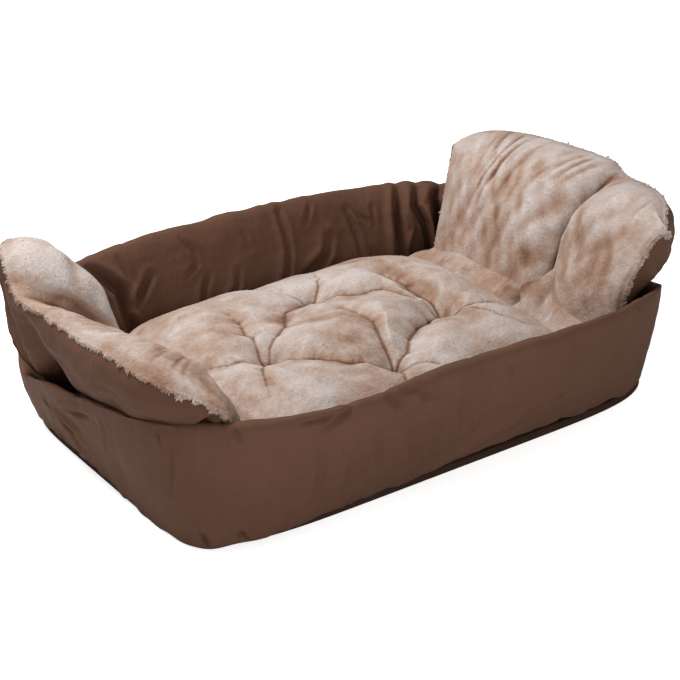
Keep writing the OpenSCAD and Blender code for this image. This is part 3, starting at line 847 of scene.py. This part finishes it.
def mattress_surface():
    """Points of the mattress's top, with its tufts and the valleys and creases between them."""
    u, v = np.meshgrid(spread(MATTRESS_COLUMNS), spread(MATTRESS_ROWS))
    plan = bed_plan(u, v)
    crown = (1 - np.abs(u) ** 4) ** 0.55 * (1 - np.abs(v) ** 3) ** 0.72
    crown = crown * (1 - 0.55 * ramp(np.abs(u), 0.90, 0.97))
    tufts = (FAR_TUFT, RIGHT_TUFT, LEFT_TUFT, NEAR_TUFT)
    nearest = np.min([length_of(plan - MM * np.array(tuft)) for tuft in tufts], axis=0)
    dip = TUFT_DEPTH * np.exp(-nearest / TUFT_REACH)
    # Wide soft valleys join the tufts, the lobes between them swell, and a narrow crease runs in each
    valley = np.zeros(u.shape)
    crease = np.zeros(u.shape)
    for width, depth, spots in in_metres(MATTRESS_CREASES):
        spots = smooth_curve(spots, 9)
        spots = spots + 0.0035 * np.stack([wobble(spots, 0.05, 91), wobble(spots, 0.05, 92)], -1)
        for k in range(len(spots) - 1):
            distance, _ = off_line(plan, spots[k], spots[k + 1])
            deep = depth * (1 - 0.5 * (k / (len(spots) - 2)) ** 2)
            valley = np.maximum(valley, 1.5 * deep * np.exp(-(distance / (2.7 * width)) ** 1.15))
            crease = np.maximum(crease, 0.40 * deep * np.exp(-(distance / (0.30 * width)) ** 1.3))
    crease = crease * (0.12 + 0.88 * bell(nearest, 0, 0.062))
    radial = 0.0012 * wobble(plan, 0.022, 19) * bell(nearest, 0, 0.035)
    lump = 0.0035 * wobble(plan, 0.13, 11) + 0.0012 * wobble(plan, 0.05, 12) + radial
    sunk = np.maximum(dip, valley) + 0.25 * np.minimum(dip, valley) + crease + lump
    return lifted(plan, border_high.z + PLUSH_T * 0.5 + crown * (CROWN + 0.013 - sunk))


def mattress_top(grid):
    piece = sheet_piece("mattress_top_plush", grid, PLUSH)
    # Painted shade in the creases and round the tufts, and painted light on the lobes' crests
    mark_hollows(piece, grid, 1, ((3, 0.0012), (12, 0.008)))
    thicken(piece, PLUSH_T)
    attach(piece, "mattress")
    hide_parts("mattress_top", "mattress_fill")
    pile = sweep_pile("mattress_pile", grid, 1, MATTRESS_LOCKS, seed=3)
    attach(pile, "mattress")


def mattress_under():
    """The nylon underside of the mattress, a shallow bowl of cloth."""
    u, v = np.meshgrid(spread(MATTRESS_COLUMNS), spread(UNDER_ROWS))
    plan = bed_plan(u, v)
    floor_z = base_high.z + 0.001
    swell = ((1 - np.abs(u) ** 9) * (1 - np.abs(v) ** 9)) ** 0.5
    z = mix(border_low.z - 0.004, floor_z, swell) + 0.002 * wobble(plan, 0.08, 13) * swell
    grid = lifted(plan, np.maximum(z, floor_z))
    # Darkened nylon, painted shade under the mattress
    piece = sheet_piece("mattress_underside_cloth", grid, NYLON_SHADED, flip=True)
    thicken(piece, NYLON_T)
    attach(piece, "mattress")
    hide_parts("mattress_underside")


def mattress_side():
    """The nylon band round the mattress's sides, gathered a little along both seams."""
    side = np.linspace(-1, 1, SIDE_COLUMNS, endpoint=False)
    one = np.ones(side.shape)
    u = np.concatenate([side, one, -side, -one])
    v = np.concatenate([-one, side, one, -side])
    plan = bed_plan(u, v)
    normal = sideways(np.roll(plan, -1, 0) - np.roll(plan, 1, 0))
    t = np.linspace(0, 1, SIDE_ROWS)[:, None]
    run = run_along(plan)
    bulge = 0.0035 * np.sin(np.pi * t) * (1 - ramp(plan[:, 1], 0.20, 0.25)) - 0.001
    bulge = bulge + 0.6 * np.abs(2 * t - 1) * gathers(run[None], run[-1], 90, 23, 0.003, 0.0016)
    z = mix(border_low.z - 0.006, border_high.z + 0.5 * PLUSH_T, t)
    grid = lifted(plan[None] + bulge[..., None] * normal[None], z)
    piece = sheet_piece("mattress_side_cloth", grid, NYLON, wrap=True)
    thicken(piece, NYLON_T)
    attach(piece, "mattress")
    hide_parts("mattress_border")


# The wings
WING_COLUMNS = 200
WING_ROWS = 110
# Half the angle that a wing's top spans round the rim, and what its near end adds to this
WING_SWEEP = math.radians(43)
NEAR_SWEEP = math.radians(5)
# How far out of the rim's outline the top lies in the middle, and how much less at its ends
OVERREACH = 0.014
WING_INSET = 0.009
WING_SAG = 0.012
CORNER_LIFT = 0.030
CORNER_DROP = 0.020
EAR = 0.026
LOWER_TUCK = 0.010
CREASE_OVERHANG = 0.008
ROLL = 0.0026
# Half the length and the height of a wing's cloth, laid flat
WING_HALF = 0.29
WING_RISE = 0.26
# For each wing, with u from its near end at -1 to its far end at 1, and v from 0 below to 1 above:
# how far face and back are puffed; the rise of its top above the rim, by u; its crease, as u by v,
# with the widths of its two sides and its depth; how far the seam lies towards the face at the near
# end, the far end and the top, and where this last fades; how far its ends are spread or drawn in,
# lean out and swell; its gathers; how far its back droops over the rim; where a darker patch lies on
# its face, how wide and how much darker, added to the painted shade; and the creases in its back
WINGS = {
    "left": dict(
        side=-1, face_puff=0.086, back_puff=0.036,
        crest=[(-1, 20), (-0.75, 27), (-0.45, 36), (-0.2, 30), (0.05, 28), (0.2, 38), (0.42, 46),
               (0.52, 58), (0.6, 90), (0.7, 94), (1, 94)],
        crease=[(0.0, 0.32), (0.5, 0.36), (1.0, 0.42)], crease_widths=(0.44, 0.12), deep=0.76,
        seam_shift=(0.016, 0.004, 0.022), seam_fade=(0.0, 0.5), spread_out=0.5, far_in=0.6,
        flare=0.0, near_bulge=0.0, gather=0.22, overhang=0.058,
        dark_patch=(-0.55, 0.80, 0.40, 0.30, 0.22),
        tucks=[(4, 9, (-284, 238), (-262, 205), (-255, 140)),
               (4, 8, (-284, 215), (-245, 195), (-190, 175)),
               (5, 8, (-283, 170), (-250, 150), (-235, 100)),
               (6, 7, (-280, 100), (-220, 105), (-150, 90)),
               (6, 9, (168, 262), (150, 190), (158, 90)),
               (8, 6, (50, 80), (-80, 60), (-200, 50)),
               (6, 5, (200, 150), (235, 100))]),
    "right": dict(
        side=1, face_puff=0.082, back_puff=0.044,
        crest=[(-1, 74), (-0.7, 81), (-0.45, 86), (-0.33, 86), (-0.2, 104), (0, 104), (0.4, 100), (1, 92)],
        crease=[(0.0, -0.42), (0.5, -0.29), (1.0, -0.30)], crease_widths=(0.13, 0.13), deep=0.62,
        seam_shift=(0.034, -0.022, -0.016), seam_fade=(0.60, 1.0), spread_out=1.0, far_in=1.0,
        flare=0.013, near_bulge=0.032, gather=0.5, overhang=0.010,
        dark_patch=(-0.72, 0.38, 0.22, 0.22, 0.40),
        tucks=[(6, 6, (-288, 220), (-260, 160), (-265, 90)),
               (8, 6, (-150, 220), (-130, 120)),
               (8, 6, (50, 240), (30, 100)), (8, 6, (200, 200), (170, 80))]),
}


def cluster(count):
    """Shares from -1 to 1 for a rounded edge, much closer together near the ends."""
    t = np.linspace(-1, 1, count)
    return mix(t, np.sin(t * np.pi / 2), 0.75)


def wing_mid(u, v, crest, spread_out, far_in, flare):
    """The middle surface of a wing: straight along the mattress below, and round the rim above."""
    near, far = np.maximum(-u, 0), np.maximum(u, 0)
    near_end = spread_out * near ** 4
    far_end = far_in * far ** 4
    lower = np.stack([HINGE_X + STRIP_W + 0.050 * near_end, (LOWER_B + 0.034 * near_end) * u,
                      HINGE_Z + CORNER_LIFT * np.abs(u) ** 3], -1)
    draw = OVERREACH - WING_INSET * np.abs(u) ** 3
    turn = (WING_SWEEP + NEAR_SWEEP * near_end) * u
    height = RIM_Z + MM * table_value(crest, u, 0.05) - CORNER_DROP * np.abs(u) ** 9
    upper = lifted(outline(turn, RIM_A + draw, RIM_B + draw, RIM_ROUND), height)
    sag = WING_SAG * np.sin(np.pi * v) * (1 - u * u)
    ear = EAR * spread_out * near ** 10 * v ** 5
    tuck = -LOWER_TUCK * far ** 8 * (1 - v) ** 4
    out = flare * near ** 2 * (0.3 * ramp(v, 0.4, 0.7) + 0.7 * ramp(v, 0.8, 1.0))
    shoulder = 0.6 * flare * near ** 12 * bell(v, 0.9, 0.07)
    move = np.stack([0.7 * sag + 0.9 * ear + 0.006 * far_end + out,
                     -0.3 * ear + tuck - 0.013 * far_end,
                     shoulder - 0.7 * sag - 0.1 * ear], -1)
    return mix(lower, upper, v[..., None]) + move


def wing_frame(*shape):
    """The shares u and v, the middle surface, and its unit normals, ways along and ways up."""
    u, v = np.meshgrid(cluster(WING_COLUMNS), (cluster(WING_ROWS) + 1) / 2)
    step = 0.02
    up = wing_mid(u, v + step, *shape) - wing_mid(u, v - step, *shape)
    along = wing_mid(u + step, v, *shape) - wing_mid(u - step, v, *shape)
    return u, v, wing_mid(u, v, *shape), unit(np.cross(up, along)), unit(along), unit(up)


def with_rolled_edge(grid, normal, out):
    """Adds two rings of points round a grid, which roll its edge under."""
    pad = ((2, 2), (2, 2), (0, 0))
    wide, normal, out = (np.pad(part, pad, mode="edge") for part in (grid, normal, out))
    ring = np.clip(2 - lines_in(wide), 0, 2)
    aside = np.choose(ring, [0, 1.0, 0.4])[..., None]
    down = np.choose(ring, [0, 0.8, 1.7])[..., None]
    return wide + ROLL * (aside * out - down * normal)


def face_lumps(v, flat, side, gather):
    """Soft lumps of a wing's face, and the gathers that run down from its upper seam."""
    lump = 0.0045 * wobble(flat, 0.12, 21 + side) + 0.0014 * wobble(flat, 0.045, 31 + side)
    run = flat[..., 0] + WING_HALF + 0.02 * wobble(flat, 0.20, 51 + side)
    below = np.abs(1 - v)
    fine = gathers(run, 2 * WING_HALF, 20, 61 + side, 0.006, 0.010) * bell(below, 0.06, 0.11)
    broad = gathers(run + 0.06 * v, 2 * WING_HALF, 9, 71 + side, 0.012, 0.009) * bell(below, 0.1, 0.36)
    return lump + gather * fine + gather * broad


def back_rucks(flat, side, tucks):
    """Tucks and soft waves of a wing's back."""
    ruck = 1.5 * crease_offsets(flat, in_metres(tucks)) + 0.002 * wobble(flat, 0.08, 41 + side)
    return ruck + 0.0010 * wobble(flat * [0.3, 1.0], 0.024, 45 + side)


def seam_offset(u, v, seam_shift, seam_fade):
    """How far the seam between face and back lies towards the face."""
    near, far, top = seam_shift
    near_end = ramp(-u, 0.35, 1.0)
    return (near * near_end + far * ramp(u, 0.5, 1.0) * ramp(v, 0, 0.5)
            + top * ramp(v, 0.5, 1.0) * (1 - near_end) * (1 - ramp(u, *seam_fade)))


def wing_surfaces(side, crest, face_puff, back_puff, crease, crease_widths, deep, seam_shift, seam_fade,
                  spread_out, far_in, flare, gather, overhang, near_bulge, tucks):
    """Points of the plush face and of the nylon back of one wing."""
    u, v, middle, normal, along, up = wing_frame(crest, spread_out, far_in, flare)
    flat = np.stack([u * WING_HALF, v * WING_RISE], -1)
    edge = np.maximum(1 - np.abs(u) ** 4, 0) ** 0.5
    w = v ** 1.15
    face_profile = edge * np.maximum(4 * w * (1 - w), 0) ** 0.5 * mix(0.72, 1.0, ramp(v, 0.0, 0.75))
    back_profile = edge * np.maximum(4 * v * (1 - v), 0) ** 0.5
    # How far off the crease each point is, in the crease's widths
    off = u - np.interp(v, *zip(*crease))
    off = off / np.where(off < 0, *crease_widths)
    near_crease = np.exp(-np.abs(off) ** 1.15)
    swell = 1 + 0.10 * bell(np.abs(off), 2.4, 1.2)
    puff = face_puff * swell * (1 - deep * mix(1.0, 0.8, v) * near_crease)
    face = face_profile * (puff + face_lumps(v, flat, side, gather))
    lap = CREASE_OVERHANG * -off * np.exp(1 - np.abs(off)) * face_profile
    droop = overhang * bell(u, 0.66, 0.24) * ramp(v, 0.0, 0.25) * (1 - 0.75 * ramp(v, 0.45, 0.95))
    back = back_profile * (back_puff * (1 - 0.6 * near_crease ** 2) + droop)
    back = back + back_rucks(flat, side, tucks) * np.minimum(1, 4 * back_profile)
    shift = seam_offset(u, v, seam_shift, seam_fade)
    face = face - shift * face_profile + shift
    back = back + shift * back_profile - shift
    # The upper corners are rounded, and the near one of a wing that bulges there swells behind
    corner = (np.abs(u) * v) ** 9
    rounded = np.where(u < 0, 0.014, -0.006) * corner
    middle = middle + np.stack([-0.008 * corner, rounded, -0.008 * corner], -1)
    back = back + near_bulge * back_profile * bell(u, -0.8, 0.25) * ramp(v, 0.4, 0.85)
    out = unit(along * (np.sign(u) * np.abs(u) ** 8)[..., None] + up * (2 * v - 1)[..., None] ** 9)
    out = out * mix(0.2, 1.0, ramp(v, 0.0, 0.04))[..., None]
    mirror = np.array([side, 1, 1])
    front = with_rolled_edge(middle + face[..., None] * normal + lap[..., None] * along, normal, out)
    rear = middle - back[..., None] * normal
    return front * mirror, rear * mirror


# The webs, which join the wings to the mattress: half their length, where they start as a share of
# the mattress, and how far their bend lies out and up
WEB_ROWS = 26
WEB_COLUMNS = 240
WEB_HALF = 0.225
WEB_START = 0.905
WEB_BEND_OUT = 0.72
WEB_BEND_UP = 0.12
# Pleats in a web: where along the seam, how far one leans on its way up, its half width and height
PLEATS = {
    "left": [(100, 0, 12, 8), (20, 20, 10, 6), (-100, 10, 12, 7)],
    "right": [(-88, -8, 13, 30), (-55, 6, 8, -16), (-30, 0, 10, 8), (75, 10, 12, 8), (130, 0, 10, 6),
              (-135, 0, 10, -8)],
}


def web_surface(bed, side, face, pleats):
    """Cloth that rises from the mattress's end to the foot of a wing, in a soft hollow."""
    start = bed[:, int(np.argmin(np.abs(bed[0, :, 0] - side * WEB_START * MATTRESS_A)))]
    y = np.linspace(-WEB_HALF, WEB_HALF, WEB_COLUMNS)
    low = resample(y, start[:, 1], start)
    # The cloth climbs the wing's face a little way, and highest at the first pleat
    rows = face[2:2 + WING_ROWS // 2]
    at_y = np.array([resample(y, row[:, 1], row) for row in rows])
    place, lean, width, height = pleats[0]
    climb = 0.15 - 0.09 * ramp(np.abs(y), 0.10, 0.22) + height * 6 * bell(y, place + lean, width)
    v = (cluster(WING_ROWS)[:len(rows)] + 1) / 2
    high = np.array([resample(climb[j], v, at_y[:, j]) for j in range(WEB_COLUMNS)])
    bend = np.stack([mix(low[:, 0], high[:, 0], WEB_BEND_OUT), y,
                     mix(low[:, 2], high[:, 2], WEB_BEND_UP)], -1)
    t = np.linspace(0, 1, WEB_ROWS)[:, None, None]
    grid = (1 - t) ** 2 * low + 2 * t * (1 - t) * bend + t ** 2 * high
    normal = grid_normals(grid)
    normal = normal * np.sign(normal[..., 2].mean())
    t = t[..., 0]
    puff = 0.004 + 0.0012 * wobble(grid, 0.05, 81 + side)
    for place, lean, width, height in pleats:
        off = np.abs(y[None] - place - lean * (t - 0.5)) / (width * (1.35 - 0.7 * t))
        puff = puff + height * np.exp(-off ** 1.4) * np.sin(np.pi * t) ** 0.6
    ends = np.sin(np.pi * t) ** 0.5
    return grid + (puff * ends - 0.003 * (1 - ends))[..., None] * normal


def wing_pieces(name, bed, side, dark_patch, **shape):
    face, back = wing_surfaces(side, **shape)
    web_piece(name, side, web_surface(bed, side, face, MM * np.array(PLEATS[name])))
    front = sheet_piece(f"{name}_wing_plush", face, PLUSH, flip=side > 0)
    u, v = np.meshgrid(np.linspace(-1, 1, face.shape[1]), np.linspace(0, 1, face.shape[0]))
    # A darker patch on the face, added to the painted shade of its hollows
    mid_u, mid_v, wide, high, amount = dark_patch
    patch = 0.10 + amount * bell(u, mid_u, wide) * bell(v, mid_v, high)
    mark_hollows(front, face, -side, ((2, 0.0012), (7, 0.006)), patch)
    thicken(front, PLUSH_T)
    front.modifiers.new("smooth", "SUBSURF").levels = 1
    front.modifiers["smooth"].render_levels = 1
    rear = sheet_piece(f"{name}_wing_nylon", back, NYLON, flip=side < 0)
    thicken(rear, NYLON_T)
    pile = sweep_pile(f"{name}_wing_pile", face, -side, WING_LOCKS, seed=11)
    locks = sweep_pile(f"{name}_wing_locks", face, -side, WING_BORDER_LOCKS, seed=17, border=True)
    # Each piece goes with its wing's body, on a mesh of its own
    for piece in (front, rear, pile, locks):
        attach(piece, f"{name}_wing")
        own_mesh(piece)
    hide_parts(f"{name}_wing_face", f"{name}_wing_fill")
    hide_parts(f"{name}_wing_back")


def web_piece(name, side, grid):
    """The cloth that joins a wing to the mattress."""
    piece = sheet_piece(f"{name}_wing_web", grid, PLUSH, flip=side < 0)
    # Painted shade in the web's hollows beside its pleats, and painted light on its ridges
    mark_hollows(piece, grid, side, ((3, 0.003), (8, 0.02)))
    thicken(piece, 0.5 * PLUSH_T)
    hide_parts(f"{name}_fold_strip")
    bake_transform(piece)


def finish_zip():
    for node, material in (("zip_tapes", ZIP_CLOTH), ("zip_coils", THREAD), ("zip_slider", METAL),
                           ("zip_pull", METAL), ("tuft_threads", THREAD)):
        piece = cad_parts[node]
        piece.data.materials.clear()
        piece.data.materials.append(material)


add_camera()
add_lights()
add_floor()
tub_wall()
tub_base()
bed_grid = mattress_surface()
mattress_top(bed_grid)
mattress_under()
mattress_side()
for wing_name, wing in WINGS.items():
    wing_pieces(wing_name, bed_grid, **wing)
finish_zip()
